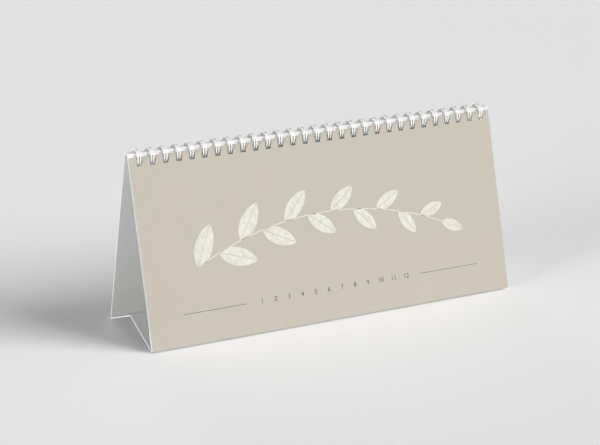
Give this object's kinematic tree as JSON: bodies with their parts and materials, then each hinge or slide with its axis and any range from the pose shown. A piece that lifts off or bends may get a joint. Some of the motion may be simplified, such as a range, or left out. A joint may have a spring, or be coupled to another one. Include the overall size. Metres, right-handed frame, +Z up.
{
  "type": "desk calendar",
  "caption": "Tent-shaped desk calendar: folded white board easel, twin-loop wire along its ridge, beige cover leaf that turns up over the month leaves.",
  "frame": {"origin": "on the surface the calendar stands on, at the middle of its bounding box", "axes": "+X along the ridge, to the right as seen from the front; +Y to the back; +Z up"},
  "size_m": [0.25, 0.068, 0.117],
  "materials": {
    "white_board": "matt white board, cut edges bare",
    "white_wire": "white nylon-coated steel wire, satin",
    "white_paper": "uncoated white paper",
    "printed_cover": "matt card printed beige with cream motifs"
  },
  "bodies": {
    "stand": {"easel_board": "white_board", "binding_wire": "white_wire", "page_block": "white_paper"},
    "cover": {"cover_leaf": "printed_cover"}
  },
  "joints": [
    {"name": "cover_turn", "type": "hinge", "parent": "stand", "child": "cover", "pos_m": [0, 0.00061, 0.1115], "axis": [-1, 0, 0], "range_deg": [0, 175]}
  ]
}
